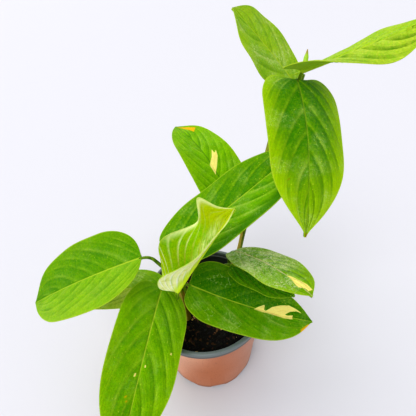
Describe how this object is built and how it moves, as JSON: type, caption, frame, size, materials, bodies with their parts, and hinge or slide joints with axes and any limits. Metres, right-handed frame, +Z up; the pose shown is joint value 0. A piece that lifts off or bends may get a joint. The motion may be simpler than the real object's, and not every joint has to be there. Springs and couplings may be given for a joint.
{
  "type": "potted variegated climbing aroid",
  "caption": "House plant in a round nursery pot: a short front shoot and a long climbing stem carry long glossy leaves with cream and yellow patches.",
  "frame": {"origin": "centre of the pot's underside, on the surface that the pot stands on", "axes": "+Z up along the pot's axis; the picture looks along +Y, from above; the climbing stem leans to +X and +Y"},
  "size_m": [0.3484, 0.2817, 0.3543],
  "materials": {
    "pot": "satin terracotta-coloured plastic outside, dark grey inside and on the rim",
    "soil": "loose dark potting mix with bark",
    "front_stem": "smooth olive-brown green stem",
    "back_stem": "smooth tan and green stem",
    "spear": "rolled young leaf, yellow-green with a reddish tip",
    "leaf": "glossy green leaf with a pale midrib, sunken veins and cream patches",
    "new_leaf": "soft glossy yellow-green young leaf, paler below"
  },
  "bodies": {
    "root": {"pot": "pot", "soil": "soil", "stem_front": "front_stem", "stem_back": "back_stem", "spear": "spear", "leaf_front": "leaf", "leaf_right": "leaf", "leaf_left": "leaf", "leaf_low": "leaf", "leaf_diagonal": "leaf", "leaf_new": "new_leaf", "leaf_grey": "leaf", "leaf_under": "leaf", "leaf_back": "leaf", "leaf_top": "leaf", "leaf_hanging": "leaf", "leaf_crown": "leaf"}
  },
  "joints": []
}
